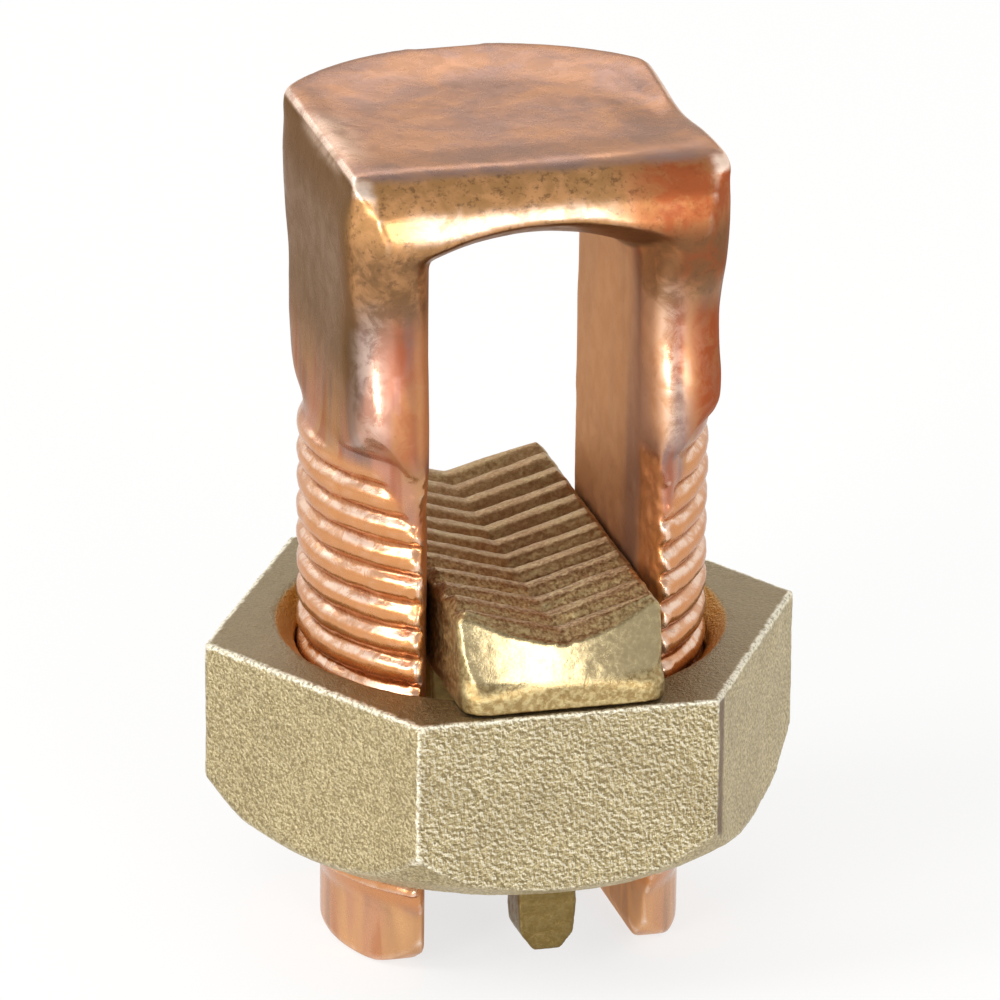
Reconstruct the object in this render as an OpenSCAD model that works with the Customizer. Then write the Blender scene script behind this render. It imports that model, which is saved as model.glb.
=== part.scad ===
// Split-bolt grounding connector: a forged copper bolt split into two legs, a bronze hex nut on its thread
// and a bronze pressure bar that the nut pushes up against the conductors in the slot.
// Millimetres. +Z runs up the bolt's axis, Y runs along the conductors, and the feet stand on z = 0.

/* [Bolt] */
// Outside diameter of the thread
thread_d = 22.2; // [20:0.1:26]
// Height of the foot's plain end below the thread's lead-in
pilot_h = 3.4; // [2:0.1:5]
// Diameter of the plain foot
pilot_d = 19.5; // [18:0.1:20.4]
// Height of the cone from the foot to the thread
lead_h = 1.7; // [0.6:0.1:2.4]
// Length of the thread
thread_l = 24.4; // [20:0.1:32]
// Distance from one turn of the thread to the next
thread_pitch = 1.5875; // [1.2:0.0125:2.4]
// Depth of the thread's rounded grooves
thread_depth = 0.55; // [0.3:0.05:0.8]
// Width of each turn's crest
thread_crest = 0.7; // [0.3:0.05:0.9]
// Height of the rounded shoulder over the thread
shoulder_h = 2.6; // [1.5:0.1:5]
// Radius of the worn edge round the outside of each foot
foot_round = 0.4; // [0.3:0.1:1.4]
// Length along the slot of the flat that each foot stands on
foot_flat = 8; // [4:0.1:9]
// Radius of the rounded corners at the foot's two ends
foot_corner = 4; // [3:0.1:6]
// Width of the bevel inside each foot's tip
tip_bevel = 0.6; // [0.5:0.1:2]
// Height of that bevel
tip_bevel_h = 1.4; // [1:0.1:3]

/* [Head] */
// Diameter of the forged column over the thread
head_d = 26; // [24.5:0.1:28]
// Height from the shoulder to the top of the head
head_h = 13.9; // [12:0.1:20]
// Distance between the two flat sides
head_flats = 20.6; // [19:0.1:22]
// How far each side swells out just below the top
swell = 0.4; // [0.05:0.05:0.8]
// Distance of the swell below the top
swell_drop = 2.7; // [1.5:0.1:4]
// Radius of the worn edge along each side of the top
top_round = 0.6; // [0.3:0.1:1.4]
// Distance from the axis to the crease where the front begins to roll over
crease_y = 7; // [5:0.1:8]
// Distance from the axis to the foremost line of the rolled front
roll_y = 9.6; // [9:0.1:11]
// Radius of the rolled front
roll_r = 4.2; // [3.6:0.1:5]
// Radius of the hollow neck under the roll
neck_r = 6; // [4:0.5:9]
// Depth to which that hollow runs into the rounded leg
neck_in = 1.9; // [1:0.1:2.5]
// Thickness of the rim at the back of the head
back_rim = 1.4; // [1:0.1:2.5]
// Distance from the axis to the front and back of each leg
leg_y = 8.5; // [7.4:0.1:9.2]
// How far the radius of the leg's rounded front and back exceeds half its thickness
leg_ease = 0.05; // [0.05:0.05:1.4]
// Radius of the hollow that runs each flat out to the thread
runout_r = 5; // [4:0.5:10]

/* [Slot] */
// Width of the slot between the legs
slot_w = 11.5; // [9:0.1:12]
// Thickness of the head over the middle of the slot
saddle_t = 5.3; // [4:0.1:7]
// Radius of the arch across the slot
arch_r = 14; // [8:0.1:18]
// Radius of the bell mouth along the slot
mouth_r = 18; // [15:0.5:26]
// Half length of each leg's flat inner face
flank_y = 6.2; // [5:0.1:7]
// Outward rake of the leg's inner edge, in degrees
flare_angle = 20; // [10:1:30]
// Length along the slot of that raked edge
flare_l = 2.2; // [1:0.1:3]
// Rake of the leg's outer corner, in degrees
corner_angle = 35; // [30:1:50]

/* [Nut] */
// Distance across the nut's flats
nut_flats = 28.6; // [27:0.1:34]
// Height of the nut
nut_h = 10.8; // [8:0.1:12]
// Height of the nut's lower face over the feet, as it stands in the picture
nut_z = 6.7; // [5:0.1:10]
// Radius of the lower face inside its chamfer
rim_r = 13.2; // [12.6:0.1:13.8]
// Height of the lower chamfer at the corners
rim_h = 3.1; // [1.5:0.1:4]
// How far the middle of that chamfer bulges out
rim_bulge = 0.4; // [0:0.1:0.6]
// Width of the countersink at both mouths of the bore
sink = 1.1; // [0.4:0.1:1.2]
// Radial clearance between the bore and the thread
thread_gap = 0.06; // [0.02:0.01:0.1]

/* [Pressure bar] */
// Distance of each end of the bar inside the nut's flat
bar_setback = 0.3; // [-1:0.1:2]
// Height of the bar at its raised edges
bar_h = 5.4; // [5:0.1:7]
// Slope of each side of the V-shaped top, in degrees
vee_angle = 16; // [10:1:20]
// Height and width of the bevel along each side of the top
edge_bevel = 0.7; // [0.3:0.1:1.2]
// Clearance between the bar and each leg
bar_gap = 0.15; // [0.1:0.01:0.4]
// Gap between the bar and the nut that carries it
seat_gap = 0.1; // [0.05:0.01:0.3]
// Spacing of the serrations
tooth_pitch = 2.15; // [1.6:0.05:3]
// Width of each serration's flat crest
tooth_flat = 0.8; // [0.2:0.05:1.2]
// Depth of the serrations
tooth_depth = 0.55; // [0.3:0.05:0.8]
// Height of the upright lip at each nose
lip_h = 1.3; // [0.8:0.1:2]
// Backward lean of the nose over the lip, in degrees
nose_lean = 20; // [10:1:35]
// Radius of the bar's upright corners
nose_round = 1.2; // [0.5:0.1:2]

/* [Prongs] */
// Width of each prong where it leaves the bar
prong_w = 4.6; // [2.5:0.1:5.5]
// Width of each prong at its tip
prong_tip_w = 3; // [1.5:0.1:3.5]
// Thickness of each prong along the slot
prong_t = 2.8; // [2:0.1:3.4]
// Distance from the axis to each prong's outer face
prong_y = 10.4; // [8:0.1:10.6]
// Height of the prong's tip over the feet
prong_clear = 2.2; // [0.5:0.1:4]
// Length of the prong's rounded tip
prong_nose = 1; // [0.5:0.1:1.5]

/* [Hidden] */
$fn = 96;
// Steps along a small rounded edge
round_steps = 6;
// Overlap that a cutter needs past the surface it opens
over = 1;

thread_r = thread_d / 2;
core_r = thread_r - thread_depth;
// Step that keeps the bottoms of the grooves clear of the core under them
root_step = 0.05;
head_r = head_d / 2;
lead_z = pilot_h + lead_h;
thread_top = lead_z + thread_l;
shoulder_top = thread_top + shoulder_h;
bolt_h = shoulder_top + head_h;
flat_x = head_flats / 2;
reach = head_d + over;

slot_x = slot_w / 2;
flare_end_y = flank_y + flare_l;
flare_end_x = slot_x + flare_l * tan(flare_angle);
corner_x = flare_end_x + (reach - flare_end_y) * tan(corner_angle);
leg_x = (slot_x + flat_x) / 2;
leg_round = (flat_x - slot_x) / 2 + leg_ease;
roll_z = bolt_h - sqrt(roll_r * roll_r - (crease_y - roll_y + roll_r) * (crease_y - roll_y + roll_r));
neck_y = leg_y - neck_in;
neck_drop = sqrt((roll_r + neck_r) * (roll_r + neck_r)
                 - (neck_y + neck_r - roll_y + roll_r) * (neck_y + neck_r - roll_y + roll_r));
neck_angle = asin(neck_drop / (roll_r + neck_r));
neck_z = roll_z - neck_drop;
arch_z = bolt_h - saddle_t - arch_r;

bore_r = thread_r + thread_gap;
nut_top = nut_z + nut_h;
nut_r = nut_flats / 2 / cos(30);
rim_run = nut_r - rim_r;
rim_slant = sqrt(rim_run * rim_run + rim_h * rim_h);
rim_mid = [(rim_r + nut_r) / 2 + rim_bulge * rim_h / rim_slant, rim_h / 2 - rim_bulge * rim_run / rim_slant];

bar_x = slot_x - bar_gap;
bar_l = nut_flats - 2 * bar_setback;
bar_y = bar_l / 2;
bar_z = nut_top + seat_gap;
bar_top = bar_z + bar_h;
valley_z = bar_top - bar_x * tan(vee_angle);
tooth_count = 2 * floor(bar_y / tooth_pitch);
prong_top = bar_z + lip_h;

// Points of an arc, from one angle to the other
function arc(centre, r, from, to) =
    [for (i = [0 : round_steps]) centre + r * [cos(from + (to - from) * i / round_steps),
                                               sin(from + (to - from) * i / round_steps)]];

// An outline that is the same on both sides of its middle line, from the points of its right side
function both_sides(right) =
    concat(right, [for (i = [len(right) - 1 : -1 : 0]) [-right[i][0], right[i][1]]]);

// Half of the bolt's turned outline: foot, lead-in cone, core of the thread, shoulder and column
module bolt_profile() {
    polygon(concat(
        [[0, 0]],
        arc([pilot_d / 2 - foot_round, foot_round], foot_round, -90, 0),
        [[pilot_d / 2, pilot_h], [core_r, lead_z], [core_r, thread_top - thread_depth]],
        [for (i = [0 : round_steps])
            [thread_r + (head_r - thread_r) * sin(90 * i / round_steps),
             shoulder_top - shoulder_h * cos(90 * i / round_steps)]],
        [[head_r, bolt_h], [0, bolt_h]]
    ));
}

// The thread of one leg as rings; the left leg's lie half a pitch higher, as the turns of a helix do
module leg_thread(left) {
    start_z = lead_z + left * thread_pitch / 2;
    turn_count = floor((thread_top - thread_depth - start_z) / thread_pitch);
    turns = [for (i = [0 : turn_count - 1]) each [
        [core_r + root_step, start_z + i * thread_pitch],
        [thread_r, start_z + (i + 0.5) * thread_pitch - thread_crest / 2],
        [thread_r, start_z + (i + 0.5) * thread_pitch + thread_crest / 2]]];
    end_z = start_z + turn_count * thread_pitch;
    intersection() {
        rotate_extrude() polygon(concat([[core_r - over, start_z]], turns,
                                        [[core_r + root_step, end_z], [core_r - over, end_z]]));
        translate([-left * reach, -reach, 0]) cube([reach, 2 * reach, bolt_h]);
    }
}

// The bolt from the front: worn top edges, a slight swell, the flats and the hollows that run them out
module front_block() {
    runout_angle = acos(1 - (head_r - flat_x) / runout_r);
    rotate([90, 0, 0]) linear_extrude(2 * reach, center = true)
        polygon(both_sides(concat(
            arc([flat_x - top_round, bolt_h - top_round], top_round, 90, 0),
            [[flat_x + swell, bolt_h - swell_drop], [flat_x, bolt_h - 3 * swell_drop]],
            arc([flat_x + runout_r, shoulder_top], runout_r, 180, 180 + runout_angle),
            [[head_r + over, thread_top], [head_r + over, -over]]
        )));
}

// The head from the side: a flat top with a crease, a front that rolls over into the hollow neck of the legs
// and a thin rim at the back
module head_side() {
    roll_c = [roll_r - roll_y, roll_z];
    crease_angle = acos((-crease_y - roll_c[0]) / roll_r);
    rotate([90, 0, 90]) linear_extrude(2 * reach, center = true)
        polygon(concat(
            arc(roll_c, roll_r, crease_angle, 180 + neck_angle),
            arc([-neck_y - neck_r, neck_z], neck_r, neck_angle, 0),
            [[leg_y - leg_round, neck_z], [head_r, bolt_h - back_rim], [head_r, bolt_h]]
        ));
}

// Both legs between the head and the thread, with rounded fronts and backs
module leg_bars() {
    end_y = leg_y - leg_round;
    translate([0, 0, thread_top - over]) linear_extrude(roll_z - thread_top + over)
        for (x = [-leg_x, leg_x]) translate([x, 0])
            polygon(concat(arc([0, end_y], leg_round, 0, 180), arc([0, -end_y], leg_round, 180, 360)));
}

// The threaded length and the feet, each rounded at the ends of its flat sole
module leg_ends() {
    rotate([90, 0, 90]) linear_extrude(2 * reach, center = true)
        polygon(both_sides(concat(
            arc([foot_flat / 2, foot_corner], foot_corner, -90, 0),
            [[reach, foot_corner + over], [reach, thread_top]]
        )));
}

// Plan of the slot: flat flanks, raked edges and open corners
module slot_plan() {
    back_right = [[slot_x, flank_y], [flare_end_x, flare_end_y], [corner_x, reach]];
    front_right = [for (i = [2 : -1 : 0]) [back_right[i][0], -back_right[i][1]]];
    polygon(both_sides(concat(front_right, back_right)));
}

// The saddle over the slot: an arch that opens like a bell towards both ends
module saddle() {
    translate([0, 0, arch_z]) rotate([90, 0, 0]) rotate_extrude() difference() {
        translate([0, -reach]) square([arch_r + mouth_r, 2 * reach]);
        translate([arch_r + mouth_r, 0]) circle(r = mouth_r);
    }
}

module slot() {
    intersection() {
        translate([0, 0, -over]) linear_extrude(bolt_h + 2 * over) slot_plan();
        union() {
            saddle();
            translate([-reach, -reach, -over]) cube([2 * reach, 2 * reach, arch_z + over]);
        }
    }
    bevel_rise = tip_bevel_h / tip_bevel;
    rotate([90, 0, 0]) linear_extrude(2 * reach, center = true)
        polygon(both_sides([[slot_x + tip_bevel + over, -over * bevel_rise],
                            [slot_x - over, tip_bevel_h + over * bevel_rise]]));
}

module split_bolt() {
    color([0.78, 0.47, 0.33]) difference() {
        intersection() {
            union() {
                rotate_extrude() bolt_profile();
                for (left = [0, 1]) leg_thread(left);
            }
            front_block();
            union() {
                head_side();
                leg_bars();
                leg_ends();
            }
        }
        slot();
    }
}

module hex_nut() {
    color([0.62, 0.56, 0.41]) translate([0, 0, nut_z]) difference() {
        intersection() {
            cylinder(r = nut_r, h = nut_h, $fn = 6);
            rotate_extrude() polygon([[0, 0], [rim_r, 0], rim_mid, [nut_r, rim_h], [nut_r, nut_h], [0, nut_h]]);
        }
        translate([0, 0, -over]) cylinder(r = bore_r, h = nut_h + 2 * over);
        translate([0, 0, -over]) cylinder(r1 = bore_r + sink + over, r2 = bore_r, h = sink + over);
        translate([0, 0, nut_h - sink]) cylinder(r1 = bore_r, r2 = bore_r + sink + over, h = sink + over);
    }
}

// Everything over one side of the serrated V
module serrated_side() {
    half = tooth_count / 2;
    teeth = [for (i = [-half : half]) each [[(i - 0.5) * tooth_pitch - tooth_flat / 2, 0],
                                            [(i - 0.5) * tooth_pitch + tooth_flat / 2, 0],
                                            [i * tooth_pitch, -tooth_depth]]];
    end_y = (half + 0.5) * tooth_pitch;
    intersection() {
        translate([0, 0, valley_z]) rotate([0, -vee_angle, 0]) translate([-over, 0, 0])
            rotate([90, 0, 90]) linear_extrude(slot_w + over)
                polygon(concat(teeth, [[end_y, 0], [end_y, bar_h], [-end_y, bar_h]]));
        translate([0, -bar_l, 0]) cube([slot_w, 2 * bar_l, bolt_h]);
    }
}

// Plan of the bar with its rounded upright corners
module bar_plan() {
    inner_x = bar_x - nose_round;
    inner_y = bar_y - nose_round;
    polygon(concat(
        arc([inner_x, inner_y], nose_round, 0, 90),
        arc([-inner_x, inner_y], nose_round, 90, 180),
        arc([-inner_x, -inner_y], nose_round, 180, 270),
        arc([inner_x, -inner_y], nose_round, 270, 360)
    ));
}

// The bar from the end: upright sides with a bevel along the top of each
module bar_section() {
    rotate([90, 0, 0]) linear_extrude(2 * bar_l, center = true)
        polygon(both_sides([[bar_x + over, bar_z - over], [bar_x + over, bar_top - edge_bevel - over],
                            [bar_x - edge_bevel - over, bar_top + over]]));
}

// One prong: a tapered tongue with a blunt tip
module prong() {
    shank = [[prong_w / 2, prong_top], [prong_tip_w / 2, prong_clear + prong_nose],
             [prong_tip_w / 4, prong_clear]];
    translate([0, prong_y, 0]) rotate([90, 0, 0]) linear_extrude(prong_t)
        polygon([shank[0], shank[1], shank[2], [-shank[2][0], shank[2][1]], [-shank[1][0], shank[1][1]],
                 [-shank[0][0], shank[0][1]]]);
}

module pressure_bar() {
    color([0.53, 0.43, 0.28]) {
        difference() {
            intersection() {
                translate([0, 0, bar_z]) linear_extrude(bar_h) bar_plan();
                bar_section();
            }
            serrated_side();
            mirror([1, 0, 0]) serrated_side();
            for (end = [0, 1]) mirror([0, end, 0])
                translate([-slot_w, bar_y, bar_z + lip_h]) rotate([nose_lean, 0, 0])
                    cube([2 * slot_w, bar_l, 2 * bar_h]);
        }
        for (end = [0, 1]) mirror([0, end, 0]) prong();
    }
}

split_bolt();
hex_nut();
pressure_bar();
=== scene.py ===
import math

import bmesh
import bpy
import numpy as np
from mathutils import Matrix, Vector


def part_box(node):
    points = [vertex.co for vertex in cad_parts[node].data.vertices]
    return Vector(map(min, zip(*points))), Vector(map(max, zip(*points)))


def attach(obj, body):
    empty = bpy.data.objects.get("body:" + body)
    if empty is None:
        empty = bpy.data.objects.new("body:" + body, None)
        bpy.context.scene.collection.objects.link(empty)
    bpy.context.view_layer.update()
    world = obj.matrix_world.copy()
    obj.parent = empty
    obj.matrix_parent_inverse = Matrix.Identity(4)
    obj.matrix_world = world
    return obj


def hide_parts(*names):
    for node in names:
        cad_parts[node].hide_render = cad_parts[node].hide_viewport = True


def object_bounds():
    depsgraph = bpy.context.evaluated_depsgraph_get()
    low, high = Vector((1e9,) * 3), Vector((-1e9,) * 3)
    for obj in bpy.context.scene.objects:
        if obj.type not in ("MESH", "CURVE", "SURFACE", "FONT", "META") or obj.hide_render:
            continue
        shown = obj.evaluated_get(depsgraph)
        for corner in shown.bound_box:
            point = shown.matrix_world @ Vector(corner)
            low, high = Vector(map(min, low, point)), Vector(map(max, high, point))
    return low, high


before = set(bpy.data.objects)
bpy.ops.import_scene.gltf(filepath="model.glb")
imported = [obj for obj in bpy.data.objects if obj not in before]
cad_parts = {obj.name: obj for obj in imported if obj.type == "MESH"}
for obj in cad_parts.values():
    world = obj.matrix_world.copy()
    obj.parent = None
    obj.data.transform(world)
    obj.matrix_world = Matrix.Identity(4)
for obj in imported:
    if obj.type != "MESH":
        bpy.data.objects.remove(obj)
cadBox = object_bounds()
scene = bpy.context.scene
mm = 0.001


# Mesh tools

def cadCopy(nodeName, pieceName):
    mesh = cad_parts[nodeName].data.copy()
    mesh.name = pieceName
    mesh.materials.clear()
    bm = bmesh.new()
    bm.from_mesh(mesh)
    bmesh.ops.remove_doubles(bm, verts=bm.verts, dist=0.002 * mm)
    bm.to_mesh(mesh)
    bm.free()
    piece = bpy.data.objects.new(pieceName, mesh)
    scene.collection.objects.link(piece)
    return piece


def applyModifiers(piece):
    old = piece.data
    depsgraph = bpy.context.evaluated_depsgraph_get()
    made = bpy.data.meshes.new_from_object(piece.evaluated_get(depsgraph))
    piece.modifiers.clear()
    piece.vertex_groups.clear()
    piece.data = made
    bpy.data.meshes.remove(old)


def getPoints(piece):
    flat = np.empty(len(piece.data.vertices) * 3, np.float32)
    piece.data.vertices.foreach_get("co", flat)
    return flat.reshape(-1, 3).astype(float)


def setPoints(piece, spots):
    piece.data.vertices.foreach_set("co", spots.astype(np.float32).ravel())
    piece.data.update()


def getNormals(piece):
    flat = np.empty(len(piece.data.vertices) * 3, np.float32)
    piece.data.vertex_normals.foreach_get("vector", flat)
    return flat.reshape(-1, 3).astype(float)


def paintGroup(piece, name, weights):
    group = piece.vertex_groups.new(name=name)
    steps = 20
    levels = np.round(np.clip(weights, 0, 1) * steps).astype(int)
    for level in range(1, steps + 1):
        picked = np.flatnonzero(levels == level)
        group.add(picked.tolist(), level / steps, "REPLACE")
    return group.name


def remesh(piece, voxel):
    grid = piece.modifiers.new("grid", "REMESH")
    grid.mode = "VOXEL"
    grid.voxel_size = voxel
    applyModifiers(piece)


def soften(piece, passes, weights=None):
    rub = piece.modifiers.new("rub", "SMOOTH")
    rub.factor = 0.5
    rub.iterations = passes
    if weights is not None:
        rub.vertex_group = paintGroup(piece, "rubbed", weights)
    applyModifiers(piece)


def roughen(piece, lump, weights=None):
    clouds = bpy.data.textures.new(f"{piece.name}Clouds", "CLOUDS")
    clouds.noise_scale = lump["size"]
    clouds.noise_depth = 2
    dent = piece.modifiers.new("dent", "DISPLACE")
    dent.texture = clouds
    dent.texture_coords = "LOCAL"
    dent.mid_level = 0.5
    dent.strength = lump["height"]
    if weights is not None:
        dent.vertex_group = paintGroup(piece, "dented", weights)
    applyModifiers(piece)


def thinDown(piece, facetLimit):
    facets = len(piece.data.polygons) * 2
    if facets > facetLimit:
        thin = piece.modifiers.new("thin", "DECIMATE")
        thin.ratio = facetLimit / facets
        applyModifiers(piece)


def keepInside(piece, nodeName):
    low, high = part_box(nodeName)
    setPoints(piece, np.clip(getPoints(piece), np.array(low), np.array(high)))


def finishPiece(piece, nodeName, material):
    piece.data.shade_smooth()
    piece.data.materials.append(material)
    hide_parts(nodeName)
    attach(piece, nodeName)
    piece.data.calc_loop_triangles()
    print(piece.name, "has", len(piece.data.loop_triangles), "triangles")


# Zone tools: a zone's rows each name a measure, the value where the zone ends and the value where it is full

def smoothStep(value, low, high):
    share = np.clip((value - low) / (high - low), 0, 1)
    return share * share * (3 - 2 * share)


def hump(value, middle, width):
    return np.exp(-((value - middle) / width) ** 2)


def atLeast(floor, weights):
    return floor + (1 - floor) * weights


def measure(piece):
    x, y, z = (getPoints(piece) / mm).T
    faceX, faceY, faceZ = getNormals(piece).T
    radius = np.maximum(np.hypot(x, y), 0.001)
    return {
        "x": x, "y": y, "z": z, "left": -x, "front": -y,
        "across": np.abs(x), "along": np.abs(y), "radius": radius,
        "faceRight": faceX, "faceFront": -faceY, "faceUp": faceZ, "faceDown": -faceZ,
        "faceSide": np.abs(faceX), "faceEnd": np.abs(faceY),
        "faceAway": np.sign(x) * faceX, "faceSlot": -np.sign(x) * faceX,
        "faceOut": (x * faceX + y * faceY) / radius, "faceAxis": -(x * faceX + y * faceY) / radius,
    }


def makeZones(measures, table):
    zones = {}
    for name, rows in table.items():
        zones[name] = np.prod([smoothStep(measures[key], end, full) for key, end, full in rows], axis=0)
    return zones


def storeValue(piece, name, values):
    layer = piece.data.attributes.new(name, "FLOAT", "POINT")
    layer.data.foreach_set("value", values.astype(np.float32))


def storeEdgesAndHollows(piece, rubbing):
    # edges stand proud of a smoothed copy, and hollows lie below it; the proud measure marks pale edges that
    # are partly wear and partly painted highlight, and the hollow measure marks painted shade with some dirt
    spots = getPoints(piece)
    facing = getNormals(piece)
    soft = bpy.data.objects.new("softCopy", piece.data.copy())
    scene.collection.objects.link(soft)
    soften(soft, rubbing["passes"])
    proud = ((spots - getPoints(soft)) * facing).sum(axis=1) / rubbing["rise"]
    bpy.data.objects.remove(soft)
    storeValue(piece, "edgeWearAndHighlight", np.clip(proud, 0, 1))
    storeValue(piece, "hollow", np.clip(-proud, 0, 1))


# Node tools

def srgb(red, green, blue):
    shares = [channel / 255 for channel in (red, green, blue)]
    return [s / 12.92 if s <= 0.04045 else ((s + 0.055) / 1.055) ** 2.4 for s in shares] + [1]


def newMaterial(name):
    material = bpy.data.materials.new(name)
    material.use_nodes = True
    return material, material.node_tree, material.node_tree.nodes["Principled BSDF"]


def setInput(tree, socket, value):
    if isinstance(value, bpy.types.NodeSocket):
        tree.links.new(value, socket)
    else:
        socket.default_value = value


def addNode(tree, kind, inputs, **settings):
    node = tree.nodes.new(kind)
    for name, value in settings.items():
        setattr(node, name, value)
    for key, value in inputs.items():
        setInput(tree, node.inputs[key], value)
    return node


def mixColour(tree, share, under, over):
    node = addNode(tree, "ShaderNodeMix", {}, data_type="RGBA")
    for key, value in ((0, share), (6, under), (7, over)):
        setInput(tree, node.inputs[key], value)
    return node.outputs[2]


def calc(tree, operation, first, second):
    return addNode(tree, "ShaderNodeMath", {0: first, 1: second}, operation=operation).outputs[0]


def ramp(tree, value, low, high, fromValue=0.0, toValue=1.0):
    inputs = {"Value": value, "From Min": low, "From Max": high, "To Min": fromValue, "To Max": toValue}
    node = addNode(tree, "ShaderNodeMapRange", inputs, interpolation_type="SMOOTHSTEP")
    return node.outputs["Result"]


def noise(tree, vector, scale, detail, roughness=0.55, distortion=0.0):
    inputs = {"Vector": vector, "Scale": scale, "Detail": detail,
              "Roughness": roughness, "Distortion": distortion}
    return addNode(tree, "ShaderNodeTexNoise", inputs).outputs["Fac"]


def attribute(tree, name):
    return addNode(tree, "ShaderNodeAttribute", {}, attribute_name=name).outputs["Fac"]


def vectorNode(tree, operation, inputs):
    return addNode(tree, "ShaderNodeVectorMath", inputs, operation=operation).outputs[0]


def bump(tree, height, strength, distance, under=None):
    inputs = {"Height": height, "Strength": strength, "Distance": distance}
    if under is not None:
        inputs["Normal"] = under
    return addNode(tree, "ShaderNodeBump", inputs).outputs["Normal"]


def makePatterns(tree, table):
    # noises measured in millimetres of the piece, some of them stretched or moved aside
    place = addNode(tree, "ShaderNodeTexCoord", {}).outputs["Object"]
    spot = vectorNode(tree, "SCALE", {0: place, "Scale": 1 / mm})
    patterns = {}
    for name, row in table.items():
        settings = dict(row)
        vector = spot
        if "stretch" in settings:
            vector = vectorNode(tree, "MULTIPLY", {0: vector, 1: settings.pop("stretch")})
        if "aside" in settings:
            vector = vectorNode(tree, "ADD", {0: vector, 1: settings.pop("aside")})
        patterns[name] = noise(tree, vector, **settings)
    return patterns


def follow(tree, patterns, rows, operation="MULTIPLY"):
    # a row names a pattern or a zone, then nothing, a share of it, or the limits of a ramp over it
    joined = None
    for source, *limits in rows:
        value = patterns[source] if source in patterns else attribute(tree, source)
        if len(limits) == 1:
            value = calc(tree, "MULTIPLY", value, limits[0])
        elif limits:
            value = ramp(tree, value, *limits)
        joined = value if joined is None else calc(tree, operation, joined, value)
    return joined


def paint(tree, look, patterns, coatName):
    # each layer of a coat is a colour, or another coat, and the rows that it follows
    coat = look["coats"][coatName]
    colour = look["colours"][coat["base"]]
    for name, *rows in coat["layers"]:
        over = paint(tree, look, patterns, name) if name in look["coats"] else look["colours"][name]
        colour = mixColour(tree, follow(tree, patterns, rows), colour, over)
    return colour


def emboss(tree, look, patterns):
    normal = None
    for pattern, strength, height in look["bumps"]:
        if isinstance(strength, tuple):
            strength = follow(tree, patterns, [strength])
        normal = bump(tree, patterns[pattern], strength, height, normal)
    return normal


# Split bolt: forged copper with a rolled thread

# heat colours are drawn out down the legs
heatBand = {"detail": 1, "roughness": 0.4, "distortion": 0.4, "stretch": (1, 1, 0.18)}

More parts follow.
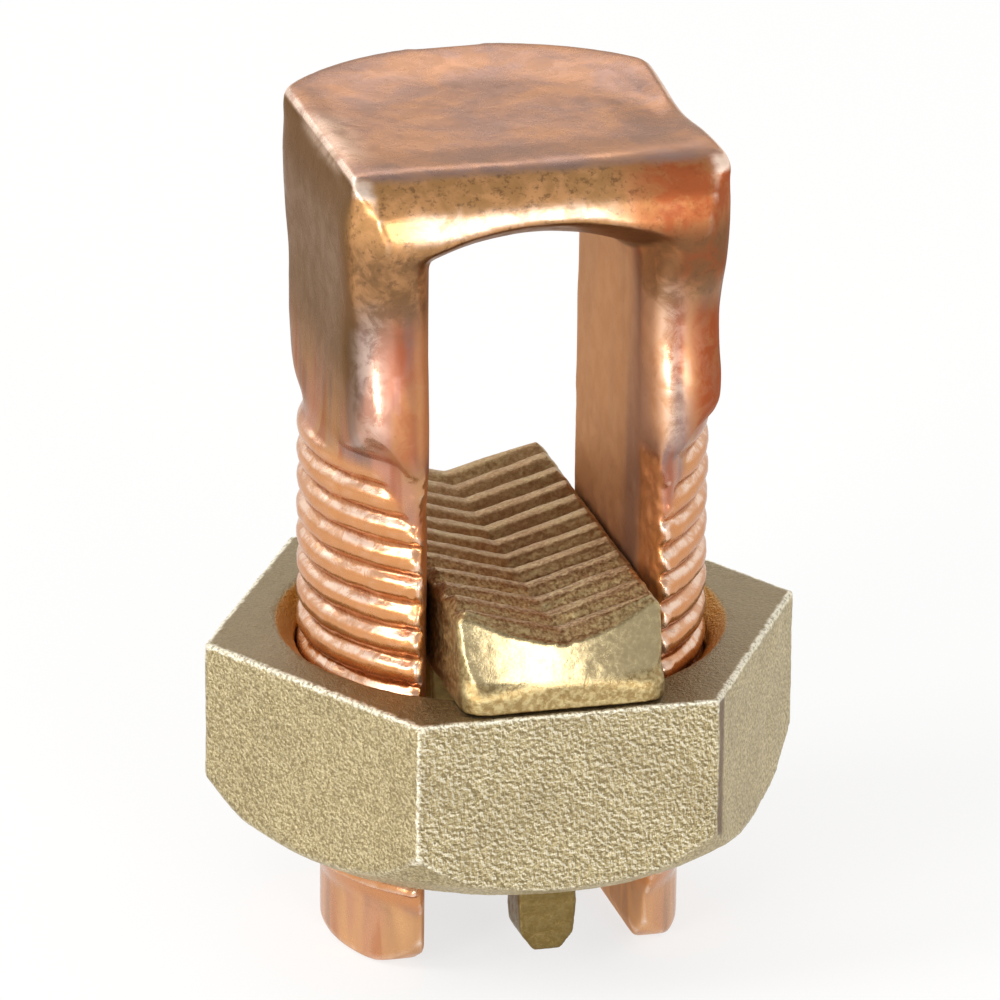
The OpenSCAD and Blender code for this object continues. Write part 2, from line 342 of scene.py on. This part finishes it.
# lengths are in millimetres, or in Blender's metres where they are times mm
boltLook = {
    "voxel": 0.15 * mm,
    "facetLimit": 190000,
    "pitch": 1.5875,
    "threadRadius": 11.1,
    "threadStart": 5.1,
    "threadDepth": 0.92,
    "threadLow": 3.5,
    "threadHigh": 31.6,
    "shoulder": 29.4,
    "fadeLength": 2.0,
    "slant": 4.2,
    "slantAcross": (6.2, 9.4),
    "runOutSlope": 0.55,
    "trimSlope": 1.2,
    "trimDrop": 0.4,
    "crestPower": 2.0,
    "dish": 0.3,
    "dent": 0.6,
    "dentHump": (1.5, 4.2),
    "legFlare": 0.9,
    # where the painted highlight runs down each leg
    "legHighlightMiddle": -1.15,
    "legHighlightHump": (8.15, 0.7),
    "passes": {"all": 6, "neck": 420, "notch": 320, "swell": 400, "crease": 280, "forged": 12,
               "legs": 60, "thread": 2, "runOut": 90},
    "toeShare": 0.6,
    "lumpFloor": 0.25,
    "lumpCalm": 0.85,
    "fineFloor": 0.3,
    "flatFloor": 0.25,
    "rollShare": 0.95,
    "leftLegShadeShare": 0.6,
    "patchShare": 0.45,
    "wideLumps": {"size": 4.5 * mm, "height": 0.22 * mm},
    "fineLumps": {"size": 1.3 * mm, "height": 0.05 * mm},
    "threadLumps": {"size": 2 * mm, "height": 0.14 * mm},
    "tear": {"size": 0.9 * mm, "height": 0.3 * mm},
    "rubbing": {"passes": 25, "rise": 0.14 * mm},
    "forging": {
        "forged": [("z", 28.8, 30.5)],
        "face": [("front", 4, 8)],
        "side": [("faceSide", 0.7, 0.95)],
        "outer": [("across", 6.2, 7.2)],
        "upperFlat": [("across", 9.3, 10), ("z", 36, 38)],
        "neck": [("z", 32.5, 35.5), ("z", 42.5, 40.5), ("front", 4.5, 6.5)],
        "toe": [("z", 27.8, 29.4), ("z", 34, 31.5)],
        "notch": [("z", 33, 35), ("z", 41.5, 39.5), ("y", 5, 6.5), ("across", 9.4, 8.4)],
        "swell": [("across", 9.3, 9.8), ("z", 35, 38), ("z", 45.2, 44.4)],
        "crease": [("z", 44, 45), ("front", 4.6, 6), ("front", 9.5, 8.6), ("across", 9.8, 8.8)],
    },
    "hammering": {
        "dish": [("faceUp", 0.5, 0.9), ("z", 43.5, 44.5), ("across", 9.7, 8.3), ("y", -7.5, -3),
                 ("radius", 12.8, 7)],
        "dent": [("x", 5.5, 10), ("z", 41, 45.5)],
        "flare": [("z", 27.4, 29.4), ("z", 36.5, 31), ("front", 5.5, 8)],
    },
    "rolling": {
        "skin": [("faceOut", 0.2, 0.6), ("radius", 10.2, 10.45)],
    },
    "runningOut": {
        "bare": [("runOut", -2.2, -1), ("along", 5.5, 7)],
        "shoulder": [("z", 29.3, 30.2)],
        "lowLeg": [("z", 34, 32)],
        "thread": [("z", 4, 6), ("z", 30, 28)],
    },
    "tearing": {
        "edge": [("z", 4, 5), ("z", 30, 29), ("along", 6.6, 7.4), ("across", 8, 6.9)],
    },
    "zones": {
        "head": [("z", 29, 31)],
        "thread": [("z", 3.4, 4.6), ("z", 29.8, 28.9)],
        "threaded": [("runOut", -1.2, -2.6)],
        "threadSkin": [("radius", 9.6, 10.1)],
        # the upward flank of each thread ridge, where a painted highlight goes
        "ridge": [("faceUp", 0.42, 0.64), ("radius", 10.25, 10.5)],
        "legTop": [("front", 4, 6), ("z", 36, 39), ("z", 43.5, 41.5), ("across", 5, 6.6)],
        "slotEdge": [("faceSlot", 0.5, 0.8), ("along", 6.2, 6.8)],
        "topFace": [("faceUp", 0.84, 0.97), ("z", 42, 44)],
        "flat": [("faceAway", 0.72, 0.95)],
        "upperFlat": [("z", 30.5, 36)],
        "slotFace": [("faceSlot", 0.45, 0.8)],
        "slotEnd": [("along", 6.4, 7)],
        "rolledFront": [("faceFront", 0.05, 0.45), ("z", 37, 40)],
        "warmLeg": [("x", 7.4, 8.8), ("z", 39, 36.5)],
        "warmRoll": [("x", 3, 6.5), ("z", 38, 40)],
        # the inner half of the left leg, painted darker as shade
        "leftLegShade": [("x", -8.9, -8), ("x", -4, -5), ("z", 39, 36)],
        "warmFront": [("front", 4, 7)],
        "lip": [("faceUp", 0.35, 0.6), ("faceUp", 0.96, 0.85), ("across", 9, 9.6)],
        "patch": [("left", 7.6, 9.4), ("y", -5.5, -3), ("y", 4.5, 1.5), ("z", 45, 45.5)],
        "rim": [("z", 44, 45)],
        "innerRound": [("faceSlot", 0.25, 0.5), ("faceSlot", 0.99, 0.93), ("along", 6, 6.6), ("z", 30, 31)],
        "underside": [("faceDown", 0.15, 0.6), ("z", 33, 36), ("across", 6.6, 5.8)],
        "foot": [("z", 5, 3.5)],
        # the roll's lower lip, where a painted highlight goes
        "rollLip": [("faceFront", 0.5, 0.85), ("faceUp", -0.1, 0.15), ("faceUp", 0.65, 0.4),
                    ("z", 38, 39.5), ("x", -8.5, -6), ("x", 5, 2)],
        "leg": [("z", 29.5, 31), ("z", 40, 38), ("along", 6, 7)],
    },
    "colours": {
        "mauve": srgb(146, 112, 102),
        "rose": srgb(192, 134, 110),
        "gold": srgb(190, 140, 88),
        "amber": srgb(212, 156, 104),
        "ember": srgb(166, 86, 48),
        "umber": srgb(104, 74, 50),
        "drab": srgb(104, 81, 58),
        "shadedFlatBrown": srgb(92, 68, 46),
        "topMauve": srgb(150, 124, 117),
        "topOrange": srgb(178, 137, 113),
        "tan": srgb(208, 158, 116),
        "honey": srgb(222, 162, 106),
        "bright": srgb(210, 143, 86),
        "salmon": srgb(220, 166, 114),
        "groove": srgb(138, 70, 32),
        "worn": srgb(252, 226, 206),
    },
    "patterns": {
        "cloud": {"scale": 0.26, "detail": 4, "roughness": 0.6, "distortion": 0.6},
        "roseBand": {"scale": 0.5, **heatBand},
        "goldBand": {"scale": 0.4, **heatBand},
        "redBand": {"scale": 0.6, **heatBand},
        "flankBand": {"scale": 0.25, **heatBand},
        "footBand": {"scale": 0.8, **heatBand, "distortion": 0},
        "mottle": {"scale": 0.75, "detail": 5, "roughness": 0.65, "distortion": 0.5},
        "fleck": {"scale": 2.6, "detail": 4, "roughness": 0.7},
        "shade": {"scale": 0.3, "detail": 3, "roughness": 0.5, "distortion": 0.4, "stretch": (1, 0.3, 0.5)},
    },
    "drift": [("cloud", 0.75), ("mottle", 0.25)],
    "dull": [("tornEdge",), ("innerFlank",)],
    "coats": {
        "copper": {"base": "mauve", "layers": [
            ("rose", ("roseBand", 0.38, 0.58)),
            ("gold", ("goldBand", 0.53, 0.66, 0, 0.75)),
            ("ember", ("redBand", 0.52, 0.64, 0, 0.75)),
            # the wrench flats take a darker brown coat: painted shade for the dark reflection on these side
            # faces, with some patina
            ("flatCoat", ("flatShade",)),
            ("flankCoat", ("innerFlank",)),
            ("rollCoat", ("rolledFront",)),
            # red-brown on the right of the roll and the right leg is heat colour; on the inner half of the
            # left leg it is painted shade
            ("ember", ("emberAndShadeSide",), ("mottle", 0.35, 0.6, 0.55, 1)),
            ("crownCoat", ("topFace",)),
            # pale lines along the top's side edges and a broad pale patch on the left are partly wear and
            # partly painted highlight
            ("worn", ("topLip",), ("mottle", 0.3, 0.55, 0.35, 1)),
            # honey on the legs' rounded inner edges is painted light, lighter where these faces would
            # reflect the dark slot
            ("honey", ("innerRound", 0.5)),
            # a pale streak down each leg is a painted highlight
            ("worn", ("legHighlight",), ("mottle", 0.38, 0.6, 0.05, 0.4)),
            # a pale band on the roll's lower lip is a painted highlight
            ("worn", ("rollLip",), ("mottle", 0.36, 0.6, 0.2, 0.6)),
            ("umber", ("legTop",), ("mottle", 0.4, 0.62, 0.75, 0.45)),
            # umber on the downward faces under the arch is painted shade
            ("umber", ("underside", 0.7)),
            ("salmon", ("foot",), ("footBand", 0.38, 0.62, 0.4, 0.95)),
            ("bright", ("threadBand", 0.9)),
            # a pale line on the upward flank of each thread ridge is a painted highlight
            ("worn", ("ridgeTop",), ("mottle", 0.4, 0.6, 0.2, 0.8)),
            ("bright", ("tornEdge", 0.8)),
            # darker in the hollows, most on the thread: painted shade with some dirt
            ("groove", ("hollow", 0.1, 0.8), ("threadBand", 0, 1, 0.3, 0.85)),
            # pale edges and crests are partly wear and partly painted highlight
            ("worn", ("edgeWearAndHighlight", 0.3, 0.9, 0, 0.75)),
            ("umber", ("fleck", 0.58, 0.8, 0, 0.3)),
        ]},
        "flatCoat": {"base": "shadedFlatBrown", "layers": [("drab", ("shade", 0.36, 0.68))]},
        "flankCoat": {"base": "tan", "layers": [("mauve", ("flankBand", 0.32, 0.7, 0, 0.7))]},
        "rollCoat": {"base": "gold", "layers": [
            ("amber", ("mottle", 0.4, 0.66)),
            ("umber", ("fleck", 0.5, 0.68, 0, 0.6)),
        ]},
        "crownCoat": {"base": "topMauve", "layers": [("topOrange", ("drift", 0.36, 0.64))]},
    },
    "roughness": [("mottle", 0.3, 0.7, 0.2, 0.32), ("dull", 0.25), ("dullLeg", 0.2), ("emberAndShadeSide", 0.2),
                  ("rolledFront", 0.08)],
    "plain": [("dull",), ("underside",), ("outerFlat",), ("topFace",), ("emberAndShadeSide", 0.8),
              ("rolledFront", 0.6)],
    "bumps": [("mottle", 0.16, 0.12 * mm), ("fleck", 0.12, 0.05 * mm)],
    "metal": 0.88,
    "coatWeight": 0.5,
    "coatRoughness": 0.12,
    "edgeTint": srgb(222, 196, 176),
}


def threadTop(x, look):
    # the bare leg runs further down beside the slot than on the outside
    return look["threadHigh"] - look["slant"] * (1 - smoothStep(np.abs(x), *look["slantAcross"]))


def measureBolt(piece, look):
    measures = measure(piece)
    measures["runOut"] = measures["z"] - threadTop(measures["x"], look)
    return measures


def forgeHead(piece, look):
    spots = getPoints(piece) / mm
    measures = measure(piece)
    zones = makeZones(measures, look["hammering"])
    dent = look["dent"] * hump(measures["y"], *look["dentHump"]) * zones["dent"]
    spots[:, 2] -= look["dish"] * zones["dish"] + dent
    spots[:, 1] -= look["legFlare"] * zones["flare"]
    setPoints(piece, spots * mm)


def rollThread(piece, look):
    spots = getPoints(piece) / mm
    measures = measure(piece)
    x, y, z, radius = (measures[name] for name in ("x", "y", "z", "radius"))
    turn = ((z - look["threadStart"]) / look["pitch"] - np.arctan2(y, x) / (2 * math.pi)) % 1
    crest = (1 - np.abs(2 * turn - 1) ** look["crestPower"]) ** (1 / look["crestPower"])
    low, high, fade = look["threadLow"], threadTop(x, look), look["fadeLength"]
    share = smoothStep(z, low, low + fade) * (1 - smoothStep(z, high - fade, high))
    runOut = look["runOutSlope"] * np.maximum(z - look["shoulder"], 0)
    wanted = look["threadRadius"] + runOut - look["threadDepth"] * share * (1 - crest)
    filled = makeZones(measures, look["rolling"])["skin"]
    filled *= (z > look["threadStart"]) & (z < look["shoulder"])
    cut = (radius > wanted) & (share > 0)
    squeeze = np.where(cut, wanted, radius + (wanted - radius) * filled) / radius
    spots[:, :2] *= squeeze[:, None]
    setPoints(piece, spots * mm)


def trimThread(piece, look):
    # nothing on the thread stands in the way of the nut's bore
    spots = getPoints(piece) / mm
    radius = np.maximum(np.hypot(spots[:, 0], spots[:, 1]), 0.001)
    rise = np.maximum(spots[:, 2] - look["shoulder"] + look["trimDrop"], 0)
    squeeze = np.minimum(radius, look["threadRadius"] + look["trimSlope"] * rise) / radius
    spots[:, :2] *= squeeze[:, None]
    setPoints(piece, spots * mm)


def storeBoltZones(piece, look):
    measures = measureBolt(piece, look)
    zones = makeZones(measures, look["zones"])
    threaded = zones["thread"] * zones["threaded"]
    outerFlat = zones["flat"] * zones["head"]
    warmAndShaded = np.maximum(zones["warmLeg"], look["rollShare"] * zones["warmRoll"])
    warmAndShaded = np.maximum(warmAndShaded, look["leftLegShadeShare"] * zones["leftLegShade"])
    # a band down each leg where the painted highlight goes; the rest of the leg is rougher
    legHighlight = hump(np.abs(measures["x"] - look["legHighlightMiddle"]), *look["legHighlightHump"])
    stored = {
        "threadBand": threaded * zones["threadSkin"],
        "ridgeTop": threaded * zones["ridge"],
        "tornEdge": zones["thread"] * zones["slotEdge"],
        "outerFlat": outerFlat,
        # the wrench flats, most of all higher up, get the painted shade of the flat coat
        "flatShade": outerFlat * atLeast(look["flatFloor"], zones["upperFlat"]),
        "innerFlank": zones["slotFace"] * (1 - zones["thread"] * zones["slotEnd"]),
        "emberAndShadeSide": zones["head"] * warmAndShaded * zones["warmFront"],
        "topLip": np.maximum(zones["lip"], look["patchShare"] * zones["patch"]) * zones["rim"],
        "dullLeg": zones["leg"] * (1 - legHighlight),
        "legHighlight": zones["leg"] * legHighlight,
    }
    for name in ("legTop", "topFace", "rolledFront", "innerRound", "underside", "foot", "rollLip"):
        stored[name] = zones[name]
    for name, values in stored.items():
        storeValue(piece, name, values)


def forgeBlank(piece, look):
    passes = look["passes"]
    zones = makeZones(measure(piece), look["forging"])
    outer = zones["outer"] * (1 - zones["upperFlat"])
    lumps = zones["forged"] * atLeast(look["lumpFloor"], zones["face"])
    lumps *= 1 - look["lumpCalm"] * zones["side"]
    soften(piece, passes["all"])
    soften(piece, passes["neck"], np.maximum(zones["neck"], look["toeShare"] * zones["toe"]) * outer)
    for name in ("notch", "swell", "crease", "forged"):
        soften(piece, passes[name], zones[name])
    forgeHead(piece, look)
    soften(piece, passes["legs"], np.maximum(zones["neck"], zones["toe"]) * outer)
    roughen(piece, look["wideLumps"], lumps)
    roughen(piece, look["fineLumps"], atLeast(look["fineFloor"], lumps))


def makeBolt(look):
    piece = cadCopy("split_bolt", "forgedBolt")
    remesh(piece, look["voxel"])
    forgeBlank(piece, look)
    print("bolt is forged")
    rollThread(piece, look)
    remesh(piece, look["voxel"])
    soften(piece, look["passes"]["thread"])
    zones = makeZones(measureBolt(piece, look), look["runningOut"])
    soften(piece, look["passes"]["runOut"], np.maximum(zones["bare"], zones["shoulder"]) * zones["lowLeg"])
    roughen(piece, look["threadLumps"], zones["thread"])
    roughen(piece, look["tear"], makeZones(measure(piece), look["tearing"])["edge"])
    thinDown(piece, look["facetLimit"])
    trimThread(piece, look)
    keepInside(piece, "split_bolt")
    storeEdgesAndHollows(piece, look["rubbing"])
    storeBoltZones(piece, look)
    return piece


def copperMaterial(look):
    material, tree, shader = newMaterial("forgedCopper")
    patterns = makePatterns(tree, look["patterns"])
    patterns["drift"] = follow(tree, patterns, look["drift"], "ADD")
    patterns["dull"] = follow(tree, patterns, look["dull"], "MAXIMUM")
    plain = follow(tree, patterns, look["plain"], "MAXIMUM")
    tree.links.new(paint(tree, look, patterns, "copper"), shader.inputs["Base Color"])
    tree.links.new(follow(tree, patterns, look["roughness"], "ADD"), shader.inputs["Roughness"])
    tree.links.new(ramp(tree, plain, 0, 1, look["coatWeight"], 0), shader.inputs["Coat Weight"])
    tree.links.new(emboss(tree, look, patterns), shader.inputs["Normal"])
    shader.inputs["Metallic"].default_value = look["metal"]
    shader.inputs["Coat Roughness"].default_value = look["coatRoughness"]
    shader.inputs["Specular Tint"].default_value = look["edgeTint"]
    return material


bolt = makeBolt(boltLook)
finishPiece(bolt, "split_bolt", copperMaterial(boltLook))


# Hex nut: blasted bronze

nutLook = {
    "voxel": 0.176 * mm,
    "passes": 5,
    "wideLumps": {"size": 3 * mm, "height": 0.12 * mm},
    "fineLumps": {"size": 0.6 * mm, "height": 0.06 * mm},
    "rubbing": {"passes": 10, "rise": 0.05 * mm},
    "stripeCorner": (8.25, -14.3),
    "stripeAlong": (0.5, 0.866),
    "knobWidth": 1.0,
    "edgeFloor": 0.3,
    "zones": {
        "topFace": [("faceUp", 0.75, 0.97)],
        "boreWall": [("faceAxis", 0.3, 0.8)],
        "edgeStripe": [("fromCorner", 0.05, 0.3), ("fromCorner", 1.4, 0.9), ("faceRight", 0.6, 0.8),
                       ("y", -14.5, -14.1)],
        "frontFace": [("faceFront", 0.75, 0.95)],
        "outside": [("radius", 13.2, 13.8)],
        "upperEdge": [("z", 15.5, 17)],
    },
    "colours": {
        "sand": srgb(168, 151, 110),
        "pale": srgb(210, 193, 150),
        "pitAndShade": srgb(126, 109, 74),
        "dusk": srgb(126, 107, 76),
        "stripe": srgb(104, 74, 46),
        "bore": srgb(204, 152, 66),
        "worn": srgb(252, 245, 224),
    },
    "patterns": {
        "fine": {"scale": 8.0, "detail": 3, "roughness": 0.7},
        "coarse": {"scale": 5.0, "detail": 3, "roughness": 0.65},
        "pebble": {"scale": 5.0, "detail": 2, "roughness": 0.5},
        "pebbleAside": {"scale": 5.0, "detail": 2, "roughness": 0.5, "aside": (0.06, 0, 0.07)},
        "cloud": {"scale": 0.3, "detail": 3},
    },
    "grain": [("fine", 0.6), ("coarse", 0.4)],
    # one side of each pebble against the other, for painted highlight and painted shade
    "relief": [("pebbleAside",), ("pebble",)],
    "coats": {
        "bronze": {"base": "sand", "layers": [
            ("pale", ("grain", 0.44, 0.6)),
            # the front face painted paler: painted light
            ("pale", ("frontFace", 0.3)),
            ("pitAndShade", ("coarse", 0.5, 0.34, 0, 0.4)),
            # pebble grain pale on one side and dark on the other: painted highlight and painted shade
            ("worn", ("relief", -0.02, -0.13), ("frontFace", 0, 1, 0.12, 0.65)),
            ("pitAndShade", ("relief", 0.02, 0.13), ("frontFace", 0, 1, 0.24, 0.6)),
            ("dusk", ("cloud", 0.4, 0.7, 0, 0.15)),
            # the top face painted darker: painted shade
            ("dusk", ("topFace", 0.7)),
            ("bore", ("boreWall",)),
            ("stripe", ("edgeStripe", 0.85)),
            # darker in the hollows: painted shade with some dirt
            ("pitAndShade", ("hollow", 0.2, 0.9, 0, 0.5)),
            # pale edges, most on the upper edges and the front-left corner: partly wear and partly painted
            # highlight
            ("worn", ("edgeWearAndHighlight", 0.2, 0.7), ("edgeWearAndHighlightZone", 0.9), ("coarse", 0.36, 0.56, 0.25, 1)),
        ]},
    },
    "roughness": [("coarse", 0.3, 0.7, 0.36, 0.5)],
    "bumps": [("coarse", ("frontFace", 0, 1, 0.5, 1), 0.3 * mm), ("fine", 0.5, 0.07 * mm)],
}


def storeNutZones(piece, look):
    measures = measure(piece)
    x, y = measures["x"], measures["y"]
    cornerX, cornerY = look["stripeCorner"]
    alongX, alongY = look["stripeAlong"]
    measures["fromCorner"] = (x - cornerX) * alongX + (y - cornerY) * alongY
    zones = makeZones(measures, look["zones"])
    knob = hump(np.hypot(x + cornerX, y - cornerY), 0, look["knobWidth"])
    # where the edges are painted pale, for edge wear and painted highlight
    rubbed = np.maximum(atLeast(look["edgeFloor"], knob), zones["upperEdge"])
    storeValue(piece, "edgeWearAndHighlightZone", zones["outside"] * rubbed)
    for name in ("topFace", "boreWall", "edgeStripe", "frontFace"):
        storeValue(piece, name, zones[name])


def makeNut(look):
    piece = cadCopy("hex_nut", "hexNut")
    remesh(piece, look["voxel"])
    soften(piece, look["passes"])
    roughen(piece, look["wideLumps"])
    roughen(piece, look["fineLumps"])
    keepInside(piece, "hex_nut")
    storeEdgesAndHollows(piece, look["rubbing"])
    storeNutZones(piece, look)
    return piece


def nutMaterial(look):
    material, tree, shader = newMaterial("blastedBronze")
    patterns = makePatterns(tree, look["patterns"])
    patterns["grain"] = follow(tree, patterns, look["grain"], "ADD")
    patterns["relief"] = follow(tree, patterns, look["relief"], "SUBTRACT")
    tree.links.new(paint(tree, look, patterns, "bronze"), shader.inputs["Base Color"])
    tree.links.new(follow(tree, patterns, look["roughness"]), shader.inputs["Roughness"])
    tree.links.new(emboss(tree, look, patterns), shader.inputs["Normal"])
    shader.inputs["Metallic"].default_value = 1
    return material


nut = makeNut(nutLook)
finishPiece(nut, "hex_nut", nutMaterial(nutLook))


# Pressure bar: darker bronze with a serrated top

barLook = {
    "voxel": 0.14 * mm,
    "passes": 7,
    "noseBow": 0.75,
    "halfWidth": 5.6,
    "endCalm": 0.7,
    "gritFloor": 0.45,
    "wideLumps": {"size": 2.2 * mm, "height": 0.16 * mm},
    "fineLumps": {"size": 0.6 * mm, "height": 0.07 * mm},
    "rubbing": {"passes": 16, "rise": 0.12 * mm},
    "bowing": {
        "nose": [("along", 11.5, 12.5), ("z", 18.4, 19.4)],
    },
    "calming": {
        "end": [("along", 11, 12)],
    },
    "zones": {
        "crown": [("faceUp", 0.55, 0.85), ("z", 20, 20.8)],
        "nose": [("faceEnd", 0.6, 0.9), ("z", 18.6, 19.4)],
        "prong": [("z", 17.6, 16.8)],
        "teeth": [("faceUp", 0.3, 0.7), ("z", 19.5, 20.3)],
        "frontHalf": [("front", 1, 7)],
    },
    "colours": {
        "bronze": srgb(156, 130, 84),
        "shade": srgb(112, 92, 50),
        "grey": srgb(166, 130, 92),
        "groove": srgb(104, 74, 40),
        "silver": srgb(158, 144, 112),
        "gold": srgb(198, 178, 130),
        "worn": srgb(222, 196, 142),
    },
    "patterns": {
        "grain": {"scale": 2.8, "detail": 5, "roughness": 0.7},
        "cloud": {"scale": 0.4, "detail": 3},
        "gritGrain": {"scale": 5.0, "detail": 2, "roughness": 0.6},
    },
    # greyer upward faces: partly patina and partly painted reflection
    "patinaAndReflection": [("crown",), ("cloud", 0.35, 0.6, 0.6, 0.95)],
    "coats": {
        "darkBronze": {"base": "bronze", "layers": [
            ("gold", ("grain", 0.4, 0.64)),
            ("grey", ("patinaAndReflection",)),
            ("gold", ("grit",), ("gritGrain", 0.5, 0.64, 0, 0.7)),
            ("groove", ("grit",), ("gritGrain", 0.48, 0.36, 0, 0.6)),
            ("silver", ("nose", 0.75)),
            # the prong below the nut is painted darker: painted shadow of the nut
            ("shade", ("prong", 0.85)),
            # pale edges are partly wear and partly painted highlight
            ("worn", ("edgeWearAndHighlight", 0.35, 0.9, 0, 0.75), ("grain", 0.4, 0.6), ("crown", 0, 1, 1, 0.5)),
            # darker in the hollows: painted shade with some dirt
            ("groove", ("hollow", 0.1, 0.6, 0, 0.95)),
        ]},
    },
    "roughness": [("grain", 0.3, 0.7, 0.28, 0.46), ("nose", -0.16), ("patinaAndReflection", 0.12)],
    "bumps": [("grain", ("nose", 0, 1, 0.5, 0.15), 0.12 * mm)],
}


def bowNose(piece, look):
    spots = getPoints(piece) / mm
    x, y = spots[:, 0], spots[:, 1]
    reach = makeZones(measure(piece), look["bowing"])["nose"]
    spots[:, 1] -= np.sign(y) * reach * look["noseBow"] * (x / look["halfWidth"]) ** 2
    setPoints(piece, spots * mm)


def storeBarZones(piece, look):
    zones = makeZones(measure(piece), look["zones"])
    storeValue(piece, "grit", zones["teeth"] * atLeast(look["gritFloor"], zones["frontHalf"]))
    for name in ("crown", "nose", "prong"):
        storeValue(piece, name, zones[name])


def makeBar(look):
    piece = cadCopy("pressure_bar", "pressureBar")
    remesh(piece, look["voxel"])
    soften(piece, look["passes"])
    bowNose(piece, look)
    calm = 1 - look["endCalm"] * makeZones(measure(piece), look["calming"])["end"]
    roughen(piece, look["wideLumps"], calm)
    roughen(piece, look["fineLumps"], calm)
    keepInside(piece, "pressure_bar")
    storeEdgesAndHollows(piece, look["rubbing"])
    storeBarZones(piece, look)
    return piece


def barMaterial(look):
    material, tree, shader = newMaterial("barBronze")
    patterns = makePatterns(tree, look["patterns"])
    patterns["patinaAndReflection"] = follow(tree, patterns, look["patinaAndReflection"])
    tree.links.new(paint(tree, look, patterns, "darkBronze"), shader.inputs["Base Color"])
    tree.links.new(follow(tree, patterns, look["roughness"], "ADD"), shader.inputs["Roughness"])
    tree.links.new(emboss(tree, look, patterns), shader.inputs["Normal"])
    shader.inputs["Metallic"].default_value = 1
    return material


bar = makeBar(barLook)
finishPiece(bar, "pressure_bar", barMaterial(barLook))


# Floor, light and camera

studioLook = {
    "floorHalf": 1.5,
    "floorColour": srgb(244, 243, 241),
    "floorRoughness": 0.9,
    "floorGlow": 0.72,
    "skyBright": 1.0,
    "skyDim": 0.5,
    "skyFade": (0.4, 0.95),
    "lamps": {
        "frontStrip": {"azimuth": 6, "elevation": 16, "distance": 0.7,
                       "width": 0.2, "height": 0.3, "radiance": 8},
        "leftStrip": {"azimuth": -48, "elevation": 14, "distance": 0.7,
                      "width": 0.16, "height": 0.34, "radiance": 13},
        "leftSoftbox": {"azimuth": -80, "elevation": 36, "distance": 0.6,
                        "width": 0.22, "height": 0.24, "radiance": 7},
        "backSoftbox": {"azimuth": -172, "elevation": 33, "distance": 0.6,
                        "width": 0.70, "height": 0.12, "radiance": 2},
    },
}


def makeFloor(look):
    bm = bmesh.new()
    bmesh.ops.create_grid(bm, x_segments=1, y_segments=1, size=look["floorHalf"])
    mesh = bpy.data.meshes.new("floor")
    bm.to_mesh(mesh)
    bm.free()
    floor = bpy.data.objects.new("floor", mesh)
    scene.collection.objects.link(floor)
    material, tree, shader = newMaterial("paleFloor")
    shader.inputs["Base Color"].default_value = look["floorColour"]
    shader.inputs["Roughness"].default_value = look["floorRoughness"]
    glow = addNode(tree, "ShaderNodeEmission", {"Color": (1, 1, 1, 1), "Strength": 1.0})
    path = addNode(tree, "ShaderNodeLightPath", {})
    seen = calc(tree, "MAXIMUM", path.outputs["Is Camera Ray"], path.outputs["Is Glossy Ray"])
    seen = calc(tree, "MAXIMUM", seen, path.outputs["Is Transmission Ray"])
    seen = calc(tree, "MULTIPLY", seen, look["floorGlow"])
    blend = addNode(tree, "ShaderNodeMixShader", {0: seen, 1: shader.outputs[0], 2: glow.outputs[0]})
    tree.links.new(blend.outputs[0], tree.nodes["Material Output"].inputs["Surface"])
    mesh.materials.append(material)


def makeWorld(look):
    world = bpy.data.worlds.new("studio")
    world.use_nodes = True
    scene.world = world
    tree = world.node_tree
    sky = addNode(tree, "ShaderNodeTexCoord", {})
    height = addNode(tree, "ShaderNodeSeparateXYZ", {0: sky.outputs["Generated"]}).outputs[2]
    low, high = look["skyFade"]
    tree.links.new(ramp(tree, height, low, high, look["skyBright"], look["skyDim"]),
                   tree.nodes["Background"].inputs["Strength"])
    tree.nodes["Background"].inputs["Color"].default_value = (1, 1, 1, 1)


def direction(azimuth, elevation):
    a, e = math.radians(azimuth), math.radians(elevation)
    return Vector((math.sin(a) * math.cos(e), -math.cos(a) * math.cos(e), math.sin(e)))


def makeLamps(look):
    middle = (Vector(cadBox[0]) + Vector(cadBox[1])) / 2
    for name, lamp in look["lamps"].items():
        light = bpy.data.lights.new(name, "AREA")
        light.shape = "RECTANGLE"
        light.size = lamp["width"]
        light.size_y = lamp["height"]
        light.energy = lamp["radiance"] * math.pi * lamp["width"] * lamp["height"]
        back = direction(lamp["azimuth"], lamp["elevation"])
        spotlight = bpy.data.objects.new(name, light)
        spotlight.matrix_world = (Matrix.Translation(middle + back * lamp["distance"])
                                  @ back.to_track_quat("Z", "Y").to_matrix().to_4x4())
        scene.collection.objects.link(spotlight)


cameraLook = {
    "azimuth": -15.0,
    "elevation": 21.18,
    "roll": 0.55,
    "distance": 600 * mm,
    "lookAt": (0, 0, 17.5 * mm),
    "rightShift": -0.04 * mm,
    "upShift": 6.30 * mm,
    "lens": 398.7,
    "sensor": 36,
    "clipStart": 10 * mm,
}


def makeCamera(look):
    back = direction(look["azimuth"], look["elevation"])
    level = Vector((math.cos(math.radians(look["azimuth"])), math.sin(math.radians(look["azimuth"])), 0))
    lean = Matrix.Rotation(math.radians(look["roll"]), 3, back)
    right = lean @ level
    up = lean @ back.cross(level)
    place = Vector(look["lookAt"]) + back * look["distance"]
    place += right * look["rightShift"] + up * look["upShift"]
    axes = Matrix((right, up, back)).transposed()
    camera = bpy.data.objects.new("camera", bpy.data.cameras.new("camera"))
    camera.data.sensor_width = look["sensor"]
    camera.data.lens = look["lens"]
    camera.data.clip_start = look["clipStart"]
    camera.matrix_world = Matrix.Translation(place) @ axes.to_4x4()
    scene.collection.objects.link(camera)
    scene.camera = camera


makeFloor(studioLook)
makeWorld(studioLook)
makeLamps(studioLook)
makeCamera(cameraLook)
scene.view_settings.view_transform = "Standard"
print("studio is set")
